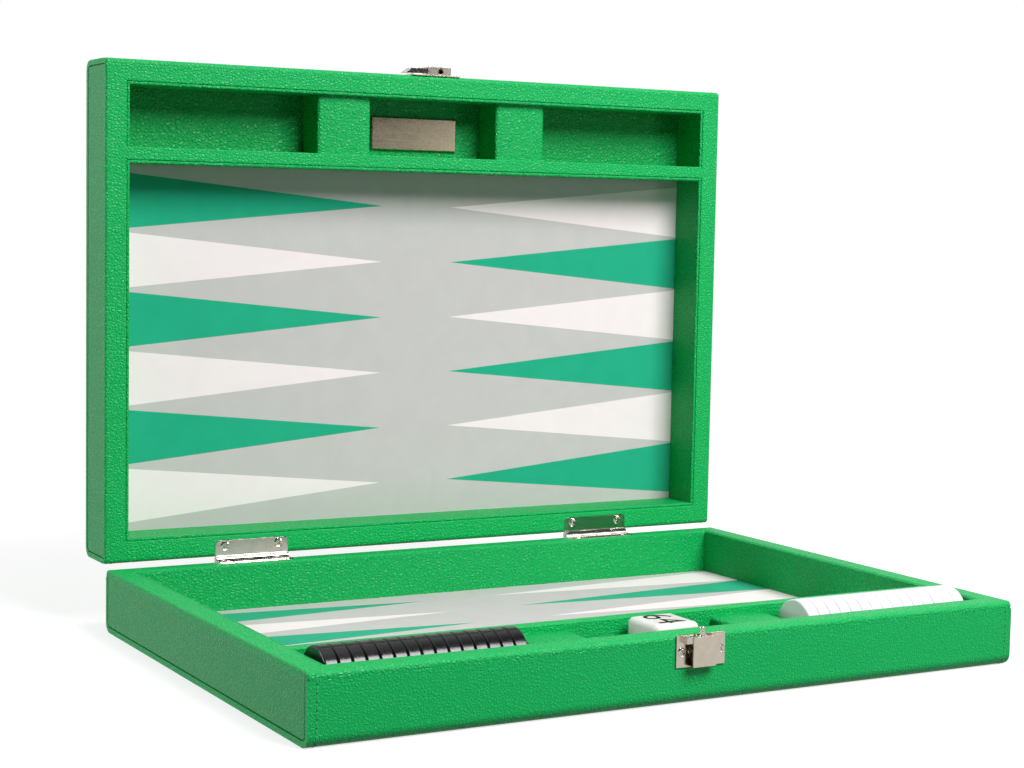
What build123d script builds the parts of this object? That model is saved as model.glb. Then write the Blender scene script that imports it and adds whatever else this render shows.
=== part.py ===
from build123d import *
import os

# Folding backgammon case. X runs across the case, Y from the catch to the hinges, Z up.
# The two halves are alike. Each is drawn lying with its rim up, and the lid is then set
# upright behind the base, open at a right angle.

# Case
CASE_WIDTH = 406.4
CASE_DEPTH = 279.0
HALF_HEIGHT = 34.5
RIM_WIDTH = 12.1
LONG_EDGE_ROUND = 6.0
RIM_EDGE_ROUND = 2.4
RIM_END_ROUND = 1.2
SOFT_EDGE = 0.7

# Hides, boards and cloth
HIDE = 1.2
RIM_HIDE = 1.6
RIM_SKIRT = 4.0
END_TURN = 2.9
PANEL_GROOVE = 0.5
FLOOR_BOARD = 6.2
LINER = 1.8
LINER_SETBACK = 0.3
LINING = 1.4

# Storage strip and field
RAIL_WIDTH = 7.2
DIVIDER_WIDTH = 33.5
DIVIDER_DROP = 3.7
DIVIDER_ROUND = 1.5
POINTS_PER_SIDE = 6
POINT_MARGIN = 3.5
POINT_GAP = 1.05
POINT_TIP_GAP = 46.0

# Hinges
HINGE_SPREAD = 232.0
HINGE_LENGTH = 44.5
HINGE_OUT = 1.7
HINGE_RISE = 0.6
KNUCKLES = 4
KNUCKLE_RADIUS = 2.4
KNUCKLE_GAP = 0.3
PIN_RADIUS = 1.2
PIN_CLEARANCE = 0.05
LEAF_REACH = 9.4
LEAF_SHEET = 1.0
LEAF_RECESS = 0.8
LEAF_CORNER = 3.0
LEAF_CLEARANCE = 0.15
LEAF_SCREW_SPACING = 33.0
LEAF_SCREW_INSET = 6.3

# Screws
SCREW_HEAD_RADIUS = 2.7
SCREW_HEAD_DEPTH = 1.3
SCREW_SHANK_RADIUS = 1.1
SCREW_LENGTH = 8.0
SCREW_CLEARANCE = 0.05
SCREW_CROWN = 0.3
CROSS_WIDTH = 0.6
CROSS_LENGTH = 2.6
CROSS_DEPTH = 0.7

# Catch
STUD_X = 1.5
STUD_RADIUS = 1.5
STUD_HEAD = 1.2
NECK_RADIUS = 0.8
CATCH_SHEET = 0.8
CATCH_PLATE_HEIGHT = 15.8
CATCH_PLATE_DROP = 0.1
CATCH_PLATE_WIDTH = 28.2
CATCH_PLATE_SHIFT = 0.9
CATCH_SCREW_SPACING = 22.4
CATCH_SCREW_DROP = 8.2
CATCH_HEAD_RADIUS = 2.1
COVER_OUT = 5.0
COVER_WIDTH = 15.7
COVER_OFFSET = -6.0
COVER_DROP = 0.6
COVER_NOTCH = 2.5
STUD_BLOCK_LEFT = 9.5
STUD_BLOCK_RIGHT = 3.0
STUD_BLOCK_HEIGHT = 3.4
RIVET_RADIUS = 1.2
RIVET_BORE = 0.6
RIVET_OFFSET = -4.9
KEEPER_SHEET = 0.6
KEEPER_WIDTH = 15.3
KEEPER_DEPTH = 8.0
KEEPER_PLATE_WIDTH = 31.6
KEEPER_PLATE_SHIFT = 2.5
KEEPER_SCREW_SPACING = 24.6
STUD_HOLE_CLEARANCE = 0.3
SLIDE_GAP = 0.1
SLIDE_FREE = 0.3
FORK_CLEARANCE = 0.7
PRONG_REACH = 1.6
STOP_ROOM = 1.3
TAB_LENGTH = 7.8
TAB_SLOPE = 4.2
TAB_OUT = 4.3
TAB_DEPTH = 7.4
TAB_DISTANCE = 15.1
SPRING_RADIUS = 1.3
SPRING_WIRE = 0.18
SPRING_PITCH = 1.3

# Plaque
PLAQUE_WIDTH = 57.0
PLAQUE_DEPTH = 19.8
PLAQUE_SHEET = 2.0
PLAQUE_BEVEL = 0.8
PLAQUE_SHIFT_X = 3.5
PLAQUE_SHIFT_Y = 2.8

# Playing pieces
CHECKERS = 15
CHECKER_DIAMETER = 30.0
CHECKER_THICKNESS = 6.9
CHECKER_GAP = 0.05
CHECKER_ROUND = 0.9
CHECKER_END_GAP = 2.4
CHECKER_FINGER_GAP = 7.15
CHECKER_SIDE_PLAY = 3.9
CUBE_SIZE = 26.7
CUBE_ROUND = 3.2
DIE_SIZE = 12.5
DIE_ROUND = 1.8
PIECE_CLEARANCE = 0.3

# Places that follow from the sizes
HALF_W = CASE_WIDTH / 2
HALF_D = CASE_DEPTH / 2
INNER_W = HALF_W - RIM_WIDTH
INNER_D = HALF_D - RIM_WIDTH
LINED_W = INNER_W - LINER
FLOOR_TOP = HIDE + FLOOR_BOARD
TRAY_TOP = FLOOR_TOP + LINING
RAIL_FRONT = LINER + CHECKER_DIAMETER + CHECKER_SIDE_PLAY - INNER_D
RAIL_BACK = RAIL_FRONT + RAIL_WIDTH
STORAGE_MIDDLE = (RAIL_FRONT - INNER_D + LINER) / 2
FIELD_FRONT = RAIL_BACK + LINER
FIELD_BACK = INNER_D - LINER
POINT_PITCH = (FIELD_BACK - FIELD_FRONT - 2 * POINT_MARGIN) / POINTS_PER_SIDE
CHECKER_PITCH = CHECKER_THICKNESS + CHECKER_GAP
CHECKER_STORE = CHECKERS * CHECKER_PITCH + CHECKER_END_GAP + CHECKER_FINGER_GAP
DIVIDER_OUTSIDE = LINED_W - CHECKER_STORE
DIVIDER_INSIDE = DIVIDER_OUTSIDE - DIVIDER_WIDTH
PIN_Y = HALF_D + HINGE_OUT
PIN_Z = HALF_HEIGHT + HINGE_RISE
RIM_GAP = 2 * HINGE_RISE
HINGE_X = HINGE_SPREAD / 2
CATCH_SCREW_Z = HALF_HEIGHT - CATCH_SCREW_DROP
SLIDER_Z = HALF_HEIGHT - KEEPER_SHEET - SLIDE_GAP
STUD_OUT = CATCH_SHEET + SCREW_CROWN + SLIDE_FREE + STUD_RADIUS
KEEPER_OUT = STUD_OUT + STUD_RADIUS + STUD_HOLE_CLEARANCE + SLIDE_GAP + KEEPER_SHEET
SLIDE_TRAVEL = PRONG_REACH + STUD_RADIUS + FORK_CLEARANCE
LID_PLACE = Plane(
    origin=(0, PIN_Y + PIN_Z, PIN_Z + PIN_Y),
    x_dir=(-1, 0, 0),
    z_dir=(0, -1, 0),
).location


def block(x0, x1, y0, y1, z0, z1):
    """A box between two corners."""
    middle = Pos((x0 + x1) / 2, (y0 + y1) / 2, (z0 + z1) / 2)
    return middle * Box(x1 - x0, y1 - y0, z1 - z0)


def edges_at(solid, axis, **places):
    """Edges along an axis whose centres lie at the given places."""
    found = solid.edges().filter_by(axis)
    for name, place in places.items():
        found = found.filter_by(lambda e: abs(getattr(e.center(), name) - place) < 0.01)
    return found


def case_body(inset, top):
    """The outside of a half, drawn in by an inset: flat on top, round along its lower long edges."""
    body = block(inset - HALF_W, HALF_W - inset, inset - HALF_D, HALF_D - inset, inset, top)
    lower = edges_at(body, Axis.X, Z=inset)
    return fillet(lower, LONG_EDGE_ROUND - inset)


def field_window(inset, z0, z1):
    """The space over the playing field, drawn in by an inset."""
    return block(inset - INNER_W, INNER_W - inset, RAIL_BACK + inset, INNER_D - inset, z0, z1)


def storage_window(inset, z0, z1):
    """The space over the storage strip, drawn in from the front and the ends."""
    return block(inset - INNER_W, INNER_W - inset, inset - INNER_D, RAIL_FRONT, z0, z1)


def screw(head_radius):
    """A countersunk cross-head screw at the origin, head up, its rim level with Z = 0."""
    cone = Pos(0, 0, -SCREW_HEAD_DEPTH / 2) * Cone(SCREW_SHANK_RADIUS, head_radius, SCREW_HEAD_DEPTH)
    crown = Pos(0, 0, SCREW_CROWN / 2) * Cone(head_radius, head_radius * 0.6, SCREW_CROWN)
    shank = Pos(0, 0, -SCREW_LENGTH / 2) * Cylinder(SCREW_SHANK_RADIUS, SCREW_LENGTH)
    body = cone + crown + shank
    for turn in (45, 135):
        slot = Pos(0, 0, SCREW_CROWN) * Rot(0, 0, turn) * Box(CROSS_LENGTH, CROSS_WIDTH, 2 * CROSS_DEPTH)
        body -= slot
    return body


def screw_hole(head_radius):
    """The countersunk hole for a screw."""
    r = head_radius + SCREW_CLEARANCE
    shank = SCREW_SHANK_RADIUS + SCREW_CLEARANCE
    cone = Pos(0, 0, -SCREW_HEAD_DEPTH / 2) * Cone(shank, r, SCREW_HEAD_DEPTH)
    mouth = Pos(0, 0, SCREW_CROWN) * Cylinder(r, 2 * SCREW_CROWN)
    pilot = Pos(0, 0, -SCREW_LENGTH / 2) * Cylinder(shank, SCREW_LENGTH + 2 * SCREW_CLEARANCE)
    return cone + mouth + pilot


def leaf_screw_places():
    """Where the hinge screws of one half stand: heads level with the leaves."""
    places = []
    for hinge in (-HINGE_X, HINGE_X):
        for side in (-LEAF_SCREW_SPACING / 2, LEAF_SCREW_SPACING / 2):
            x = hinge + side
            places.append(Pos(x, HALF_D - LEAF_SCREW_INSET, HALF_HEIGHT - LEAF_RECESS + LEAF_SHEET))
    return places


def catch_screw_places(middle, spacing):
    """Where the catch screws of one half stand: driven in from the front, level with the plate."""
    face = -HALF_D - CATCH_SHEET
    return [
        Pos(middle + side, face, CATCH_SCREW_Z) * Rot(90, 0, 0) for side in (-spacing / 2, spacing / 2)
    ]


def leaf_pockets():
    """Recesses for the hinge leaves in the rim, open at the back."""
    pockets = []
    for x in (-HINGE_X, HINGE_X):
        reach = LEAF_REACH + LEAF_CLEARANCE
        half = HINGE_LENGTH / 2 + LEAF_CLEARANCE
        top = HALF_HEIGHT + 1
        pocket = block(x - half, x + half, HALF_D - reach, HALF_D + 1, HALF_HEIGHT - LEAF_RECESS, top)
        corners = edges_at(pocket, Axis.Z, Y=HALF_D - reach)
        pockets.append(fillet(corners, LEAF_CORNER))
    return pockets


def half_case(catch_x, catch_spacing):
    """Every piece of the shell of one half, lying rim up."""
    bored = [p * screw_hole(SCREW_HEAD_RADIUS) for p in leaf_screw_places()]
    bored += [p * screw_hole(CATCH_HEAD_RADIUS) for p in catch_screw_places(catch_x, catch_spacing)]
    wall_top = HALF_HEIGHT - RIM_HIDE
    pieces = {}

    # Wooden frame: the front and back boards run the full width, the end boards stand between them.
    core = case_body(HIDE, wall_top)
    front = core & block(-HALF_W, HALF_W, -HALF_D, -INNER_D, 0, wall_top)
    back = core & block(-HALF_W, HALF_W, INNER_D, HALF_D, 0, wall_top)
    pieces["front_wall"] = front - bored
    pieces["back_wall"] = back - bored
    pieces["left_wall"] = block(HIDE - HALF_W, -INNER_W, -INNER_D, INNER_D, HIDE, wall_top)
    pieces["right_wall"] = block(INNER_W, HALF_W - HIDE, -INNER_D, INNER_D, HIDE, wall_top)
    pieces["floor_board"] = block(-INNER_W, INNER_W, -INNER_D, INNER_D, HIDE, FLOOR_TOP)
    pieces["rail_core"] = block(-INNER_W, INNER_W, RAIL_FRONT + HIDE, RAIL_BACK, FLOOR_TOP, wall_top)

    # One hide runs down the front, under the floor and up the back, and is turned over both ends.
    skirt_bottom = HALF_HEIGHT - RIM_SKIRT
    inside = block(HIDE - HALF_W, HALF_W - HIDE, HIDE - HALF_D, HALF_D - HIDE, HIDE, HALF_HEIGHT)
    hollow = fillet(edges_at(inside, Axis.X, Z=HIDE), LONG_EDGE_ROUND - HIDE)
    opening = block(-HALF_W, HALF_W, END_TURN - HALF_D, HALF_D - END_TURN, END_TURN, HALF_HEIGHT)
    opening = fillet(edges_at(opening, Axis.X, Z=END_TURN), LONG_EDGE_ROUND - END_TURN)
    pieces["outer_hide"] = case_body(0, skirt_bottom) - hollow - opening - bored

    # End panels sit inside the turned edges of that hide, with a groove all round.
    inset = END_TURN + PANEL_GROOVE
    panel = case_body(inset, skirt_bottom)
    profile = (panel & block(-1, 1, -HALF_D, HALF_D, 0, HALF_HEIGHT)).faces().sort_by(Axis.X)[0]
    plate = extrude(profile, HIDE, dir=(1, 0, 0))
    pieces["left_end_panel"] = Pos(1 - HALF_W, 0, 0) * plate
    pieces["right_end_panel"] = Pos(1 + HALF_W - HIDE, 0, 0) * plate

    # The rim hide covers the top, turns down over all four edges and down the rail's storage side.
    rim = block(-HALF_W, HALF_W, -HALF_D, HALF_D, skirt_bottom, HALF_HEIGHT)
    rim = fillet(edges_at(rim, Axis.X, Z=HALF_HEIGHT), RIM_EDGE_ROUND)
    rim = fillet(rim.edges().filter_by(Axis.Y).group_by(Axis.Z)[-1], RIM_END_ROUND)
    rim -= block(HIDE - HALF_W, HALF_W - HIDE, HIDE - HALF_D, HALF_D - HIDE, skirt_bottom, wall_top)
    rim -= field_window(0, skirt_bottom, HALF_HEIGHT)
    rim -= storage_window(0, skirt_bottom, HALF_HEIGHT)
    rail_face = block(-INNER_W, INNER_W, RAIL_FRONT, RAIL_FRONT + HIDE, FLOOR_TOP, wall_top)
    rim += rail_face
    mouths = rim.edges().filter_by(
        lambda e: abs(e.center().Z - HALF_HEIGHT) < 0.01
        and abs(e.center().X) < INNER_W + 0.01
        and -INNER_D - 0.01 < e.center().Y < INNER_D + 0.01
    )
    rim = fillet(mouths, SOFT_EDGE)

    # The grooves beside the end panels run on up through the turned-down edge.
    for side in (-1, 1):
        for end in (-1, 1):
            x0, x1 = sorted((side * (HALF_W - HIDE), side * HALF_W))
            y0, y1 = sorted((end * (HALF_D - inset), end * (HALF_D - END_TURN)))
            rim -= block(x0, x1, y0, y1, skirt_bottom, HALF_HEIGHT - RIM_END_ROUND)
    pieces["rim_hide"] = rim - leaf_pockets() - bored

    # Thin wrapped boards line the wells.
    liner_top = HALF_HEIGHT - LINER_SETBACK
    field = field_window(0, FLOOR_TOP, liner_top) - field_window(LINER, FLOOR_TOP, liner_top)
    pieces["field_liner"] = fillet(field.faces().sort_by(Axis.Z)[-1].edges(), SOFT_EDGE)
    strip = storage_window(0, FLOOR_TOP, liner_top) - storage_window(LINER, FLOOR_TOP, liner_top)
    top_edges = strip.faces().sort_by(Axis.Z)[-1].edges()
    along = top_edges.filter_by(lambda e: abs(e.center().Y - RAIL_FRONT) > 0.01)
    pieces["storage_liner"] = fillet(along, SOFT_EDGE)
    pieces["storage_lining"] = storage_window(LINER, FLOOR_TOP, TRAY_TOP)

    # The field is cloth, with the points let into it edge to edge.
    cloth = field_window(LINER, FLOOR_TOP, TRAY_TOP)
    points = {0: [], 1: []}
    middle = (FIELD_FRONT + FIELD_BACK) / 2
    half_base = (POINT_PITCH - POINT_GAP) / 2
    for side in (-1, 1):
        for n in range(POINTS_PER_SIDE):
            y = middle + side * (n - (POINTS_PER_SIDE - 1) / 2) * POINT_PITCH
            near = (side * LINED_W, y - half_base)
            far = (side * LINED_W, y + half_base)
            outline = Polyline(near, (side * POINT_TIP_GAP / 2, y), far, close=True)
            point = Pos(0, 0, FLOOR_TOP) * extrude(make_face(outline), LINING, dir=(0, 0, 1))
            cloth -= point
            points[n % 2].append(point)
    pieces["field_cloth"] = cloth
    pieces["green_points"] = points[0]
    pieces["white_points"] = points[1]

    # Padded blocks part the storage strip into three.
    for name, side in (("left_divider", -1), ("right_divider", 1)):
        near, far = sorted((side * DIVIDER_INSIDE, side * DIVIDER_OUTSIDE))
        top = HALF_HEIGHT - DIVIDER_DROP
        divider = block(near, far, LINER - INNER_D, RAIL_FRONT, TRAY_TOP, top)
        pieces[name] = fillet(edges_at(divider, Axis.Y, Z=top), DIVIDER_ROUND)
    return pieces


def hinge_leaf(x, owned):
    """A leaf with its knuckles, for the lower half; owned is 0 or 1 for the knuckles that it takes."""
    left = x - HINGE_LENGTH / 2
    low = HALF_HEIGHT - LEAF_RECESS
    leaf = block(left, left + HINGE_LENGTH, HALF_D - LEAF_REACH, PIN_Y, low, low + LEAF_SHEET)
    leaf = fillet(edges_at(leaf, Axis.Z, Y=HALF_D - LEAF_REACH), LEAF_CORNER)
    step = HINGE_LENGTH / KNUCKLES
    for n in range(KNUCKLES):
        start = left + n * step
        spot = Pos(start + step / 2, PIN_Y, PIN_Z) * Rot(0, 90, 0)
        if n % 2 == owned:
            leaf += spot * Cylinder(KNUCKLE_RADIUS, step - KNUCKLE_GAP)
        else:
            leaf -= spot * Cylinder(KNUCKLE_RADIUS + KNUCKLE_GAP, step + KNUCKLE_GAP)
    bore = Pos(x, PIN_Y, PIN_Z) * Rot(0, 90, 0) * Cylinder(PIN_RADIUS + PIN_CLEARANCE, HINGE_LENGTH + 1)
    holes = [p * screw_hole(SCREW_HEAD_RADIUS) for p in leaf_screw_places()]
    return leaf - bore - holes


def hinge_pin(x):
    """The pin of one hinge, with chamfered ends."""
    pin = Cylinder(PIN_RADIUS, HINGE_LENGTH)
    return Pos(x, PIN_Y, PIN_Z) * Rot(0, 90, 0) * chamfer(pin.edges(), PIN_RADIUS / 3)


def catch_plate(middle, width, spacing):
    """The backplate of either half of the catch, on the front hide, with its two screw holes."""
    top = HALF_HEIGHT - CATCH_PLATE_DROP
    face = -HALF_D - CATCH_SHEET
    plate = block(middle - width / 2, middle + width / 2, face, -HALF_D, top - CATCH_PLATE_HEIGHT, top)
    holes = [p * screw_hole(CATCH_HEAD_RADIUS) for p in catch_screw_places(middle, spacing)]
    return plate - holes


def base_catch():
    """The lower half of the catch: plate, cover, block, stud and rivet."""
    middle = STUD_X + CATCH_PLATE_SHIFT
    pieces = {}
    rivet_place = Pos(STUD_X + RIVET_OFFSET, -HALF_D - CATCH_SHEET, CATCH_SCREW_Z) * Rot(90, 0, 0)
    plate = catch_plate(middle, CATCH_PLATE_WIDTH, CATCH_SCREW_SPACING)
    pieces["catch_plate"] = plate - rivet_place * Cylinder(RIVET_RADIUS, 2 * CATCH_SHEET)
    shank = Pos(0, 0, -CATCH_SHEET / 2) * Cylinder(RIVET_RADIUS, CATCH_SHEET)
    lip = Pos(0, 0, CATCH_SHEET / 4) * Cylinder(RIVET_RADIUS * 1.3, CATCH_SHEET / 2)
    rivet = shank + lip - Pos(0, 0, CATCH_SHEET) * Cylinder(RIVET_BORE, 2 * CATCH_SHEET)
    pieces["catch_rivet"] = rivet_place * rivet

    left = STUD_X + COVER_OFFSET
    top = HALF_HEIGHT - COVER_DROP
    bottom = HALF_HEIGHT - CATCH_PLATE_DROP - CATCH_PLATE_HEIGHT
    outer = -HALF_D - COVER_OUT
    back = -HALF_D - CATCH_SHEET
    sheet = block(left, left + COVER_WIDTH, outer, outer + CATCH_SHEET, bottom, top)
    foot = block(left, left + COVER_WIDTH, outer, back, bottom, bottom + CATCH_SHEET)
    cover = sheet + foot
    cover = fillet(edges_at(cover, Axis.X, Y=outer, Z=bottom), CATCH_SHEET * 1.4)
    right = left + COVER_WIDTH
    cover -= block(right - COVER_NOTCH, right, outer, back, bottom, bottom + 1.5 * CATCH_SHEET)
    pieces["catch_cover"] = cover

    stud_y = -HALF_D - STUD_OUT
    block_left = STUD_X - STUD_BLOCK_LEFT
    block_right = STUD_X + STUD_BLOCK_RIGHT
    roof = top
    anvil = block(
        block_left, block_right, outer + CATCH_SHEET, back, roof - STUD_BLOCK_HEIGHT, roof
    )
    neck_low = HALF_HEIGHT + RIM_GAP + KEEPER_SHEET + SLIDE_GAP - SLIDE_FREE
    neck_high = neck_low + 2 * SLIDE_FREE + KEEPER_SHEET
    crown = neck_high + STUD_HEAD
    bottom_pin = roof - STUD_BLOCK_HEIGHT / 2
    collar = Pos(0, 0, (roof + neck_low) / 2) * Cylinder(STUD_RADIUS, neck_low - roof)
    neck = Pos(0, 0, (bottom_pin + neck_high) / 2) * Cylinder(NECK_RADIUS, neck_high - bottom_pin)
    head = Pos(0, 0, (neck_high + crown) / 2) * Cylinder(STUD_RADIUS, crown - neck_high)
    head = fillet(head.edges().sort_by(Axis.Z)[-1], STUD_HEAD * 0.85)
    stud = collar + neck + head
    pieces["catch_stud"] = Pos(STUD_X, stud_y, 0) * stud
    socket = Pos(STUD_X, stud_y, roof) * Cylinder(NECK_RADIUS, STUD_BLOCK_HEIGHT)
    pieces["catch_block"] = anvil - socket
    return pieces


def lid_catch():
    """The upper half of the catch, drawn lying like the lower one and mirrored by the lid's place."""
    stud_x = -STUD_X
    plate_x = stud_x + KEEPER_PLATE_SHIFT
    back = -HALF_D - CATCH_SHEET
    outer = -HALF_D - KEEPER_OUT
    stud_y = -HALF_D - STUD_OUT
    pieces = {"keeper_plate": catch_plate(plate_x, KEEPER_PLATE_WIDTH, KEEPER_SCREW_SPACING)}

    # A folded box with a round hole in the face that meets the stud, and a slot towards the thumb tab.
    wall = KEEPER_SHEET
    web_x = stud_x + STUD_RADIUS + PRONG_REACH
    high = web_x + SLIDE_TRAVEL + SLIDE_FREE + 2 * wall
    low = high - KEEPER_WIDTH
    deep = HALF_HEIGHT - KEEPER_DEPTH
    keeper = block(low, high, outer, back, deep, HALF_HEIGHT)
    keeper = fillet(edges_at(keeper, Axis.Z, Y=outer), wall)
    keeper -= block(low + wall, high - wall, outer + wall, back, deep + wall, HALF_HEIGHT - wall)
    hole = Cylinder(STUD_RADIUS + STUD_HOLE_CLEARANCE, 4 * wall)
    keeper -= Pos(stud_x, stud_y, HALF_HEIGHT) * hole
    half = STUD_RADIUS
    strip = SLIDER_Z - KEEPER_SHEET
    free = SLIDE_FREE
    mouth = block(high - wall, high, stud_y - half - free, back, strip - free, HALF_HEIGHT - wall)
    pieces["keeper_box"] = keeper - mouth

    # The slider: fork, web, tongue and end stop are one folded strip, with the thumb tab on its end.
    tongue_top = strip - free - STUD_HEAD - free
    stop_x = low + wall + STOP_ROOM
    tab_right = stud_x + TAB_DISTANCE
    front, rear = stud_y - half, stud_y + half
    fork = block(stud_x - PRONG_REACH, tab_right + 1, front, rear, strip, SLIDER_Z)
    slot = Pos(stud_x, stud_y, strip) * Cylinder(NECK_RADIUS + SLIDE_FREE, 4 * KEEPER_SHEET)
    gate_half = NECK_RADIUS + SLIDE_FREE
    gate_end = stud_x - PRONG_REACH
    gate = block(gate_end, stud_x, stud_y - gate_half, stud_y + gate_half, strip, SLIDER_Z)
    web = block(web_x, web_x + wall, front, rear, tongue_top - wall, SLIDER_Z)
    tongue = block(stop_x, web_x + wall, front, rear, tongue_top - wall, tongue_top)
    stop = block(stop_x, stop_x + wall, front, rear, deep + wall + SLIDE_FREE, tongue_top)
    under = -HALF_D - CATCH_SHEET - SCREW_CROWN - SLIDE_FREE
    peak = -HALF_D - TAB_OUT
    outline = Polyline(
        (tab_right, under),
        (tab_right, peak),
        (tab_right + TAB_LENGTH - TAB_SLOPE, peak),
        (tab_right + TAB_LENGTH, under),
        close=True,
    )
    tab = Pos(0, 0, SLIDER_Z - TAB_DEPTH) * extrude(make_face(outline), TAB_DEPTH, dir=(0, 0, 1))
    pieces["catch_slider"] = fork - slot - gate + web + tongue + stop + tab

    # The return spring lies along the box, between its thumb-side wall and the end stop.
    spring_start = stop_x + wall
    spring_end = high - wall
    turns_height = spring_end - spring_start - 2 * SPRING_WIRE
    path = Helix(SPRING_PITCH, turns_height, SPRING_RADIUS)
    section = Plane(origin=path @ 0, z_dir=path % 0) * Circle(SPRING_WIRE)
    coil = sweep(section, path=path, is_frenet=True)
    spring_z = (tongue_top + deep) / 2
    pieces["catch_spring"] = Pos(spring_start + SPRING_WIRE, stud_y, spring_z) * Rot(0, 90, 0) * coil
    return pieces


def plaque():
    """A bevelled metal plate on the floor of the lid's middle compartment."""
    x = PLAQUE_SHIFT_X
    y = STORAGE_MIDDLE + PLAQUE_SHIFT_Y
    half_w, half_d = PLAQUE_WIDTH / 2, PLAQUE_DEPTH / 2
    plate = block(x - half_w, x + half_w, y - half_d, y + half_d, TRAY_TOP, TRAY_TOP + PLAQUE_SHEET)
    return chamfer(plate.faces().sort_by(Axis.Z)[-1].edges(), PLAQUE_BEVEL)


def checker_row(side):
    """A row of checkers on edge in an outer compartment, packed towards the case's end."""
    disc = Cylinder(CHECKER_DIAMETER / 2, CHECKER_THICKNESS)
    disc = fillet(disc.edges().filter_by(GeomType.CIRCLE), CHECKER_ROUND)
    disc = Rot(0, 90, 0) * disc
    z = TRAY_TOP + PIECE_CLEARANCE + CHECKER_DIAMETER / 2
    first = LINED_W - CHECKER_END_GAP - CHECKER_THICKNESS / 2
    return [Pos(side * (first - n * CHECKER_PITCH), STORAGE_MIDDLE, z) * disc for n in range(CHECKERS)]


def rounded_cube(size, radius, x, y):
    """A cube with round edges, standing on the lining."""
    cube = Box(size, size, size)
    return Pos(x, y, TRAY_TOP + PIECE_CLEARANCE + size / 2) * fillet(cube.edges(), radius)


def dice(side):
    """A pair of dice between the doubling cube and a divider."""
    x = (STUD_X + side * (CUBE_SIZE / 2 + DIVIDER_INSIDE)) / 2
    spread = DIE_SIZE / 2 + 2 * PIECE_CLEARANCE
    return [rounded_cube(DIE_SIZE, DIE_ROUND, x, STORAGE_MIDDLE + way * spread) for way in (-1, 1)]


base_x = STUD_X + CATCH_PLATE_SHIFT
lid_x = KEEPER_PLATE_SHIFT - STUD_X
nodes = {}
for name, piece in half_case(base_x, CATCH_SCREW_SPACING).items():
    nodes["base_" + name] = piece
for name, piece in half_case(lid_x, KEEPER_SCREW_SPACING).items():
    many = isinstance(piece, list)
    nodes["lid_" + name] = [LID_PLACE * p for p in piece] if many else LID_PLACE * piece

for name, x in (("left", -HINGE_X), ("right", HINGE_X)):
    nodes[name + "_hinge_base_leaf"] = hinge_leaf(x, 0)
    nodes[name + "_hinge_lid_leaf"] = LID_PLACE * hinge_leaf(-x, 0)
nodes["hinge_pins"] = [hinge_pin(-HINGE_X), hinge_pin(HINGE_X)]
hinge_screws = [p * screw(SCREW_HEAD_RADIUS) for p in leaf_screw_places()]
nodes["base_hinge_screws"] = hinge_screws
nodes["lid_hinge_screws"] = [LID_PLACE * s for s in hinge_screws]

nodes.update(base_catch())
nodes.update({name: LID_PLACE * piece for name, piece in lid_catch().items()})
for name, x, spacing, place in (
    ("catch_screws", base_x, CATCH_SCREW_SPACING, Location()),
    ("keeper_screws", lid_x, KEEPER_SCREW_SPACING, LID_PLACE),
):
    nodes[name] = [place * p * screw(CATCH_HEAD_RADIUS) for p in catch_screw_places(x, spacing)]

nodes["lid_plaque"] = LID_PLACE * plaque()
nodes["black_checkers"] = checker_row(-1)
nodes["white_checkers"] = checker_row(1)
nodes["doubling_cube"] = rounded_cube(CUBE_SIZE, CUBE_ROUND, STUD_X, STORAGE_MIDDLE)
nodes["white_dice"] = dice(-1)
nodes["black_dice"] = dice(1)

os.makedirs("parts", exist_ok=True)
for name, piece in nodes.items():
    solids = piece if isinstance(piece, list) else [piece]
    export_step(Compound(children=solids) if len(solids) > 1 else solids[0], f"parts/{name}.step")
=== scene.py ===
import math

import bmesh
import bpy
from mathutils import Matrix, Vector


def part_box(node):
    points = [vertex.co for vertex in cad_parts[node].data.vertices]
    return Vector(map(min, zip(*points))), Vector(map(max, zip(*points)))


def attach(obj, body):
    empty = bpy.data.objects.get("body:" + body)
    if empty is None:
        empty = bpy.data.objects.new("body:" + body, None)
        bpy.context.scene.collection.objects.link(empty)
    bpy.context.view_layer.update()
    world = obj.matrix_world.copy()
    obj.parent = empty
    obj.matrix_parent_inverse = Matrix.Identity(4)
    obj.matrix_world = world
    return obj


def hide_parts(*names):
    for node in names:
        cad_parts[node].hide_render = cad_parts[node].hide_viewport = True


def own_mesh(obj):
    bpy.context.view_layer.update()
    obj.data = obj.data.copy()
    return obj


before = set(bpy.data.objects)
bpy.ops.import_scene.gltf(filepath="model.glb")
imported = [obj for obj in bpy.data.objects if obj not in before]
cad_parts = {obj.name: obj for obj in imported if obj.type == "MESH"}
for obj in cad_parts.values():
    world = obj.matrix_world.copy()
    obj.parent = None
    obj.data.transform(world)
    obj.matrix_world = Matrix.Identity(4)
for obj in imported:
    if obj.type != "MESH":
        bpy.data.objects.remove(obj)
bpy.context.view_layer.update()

# ---------------------------------------------------------------------------------------------
# Studio. A pale paper floor and a white sky, with a broad softbox high in front and to the right,
# a weak one overhead, one behind on the left and a low reflector on the right. The camera stands
# in front and to the left, a little above the rim.
# ---------------------------------------------------------------------------------------------
view = bpy.context.scene.view_settings
view.view_transform = "Standard"
view.look = "None"

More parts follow.
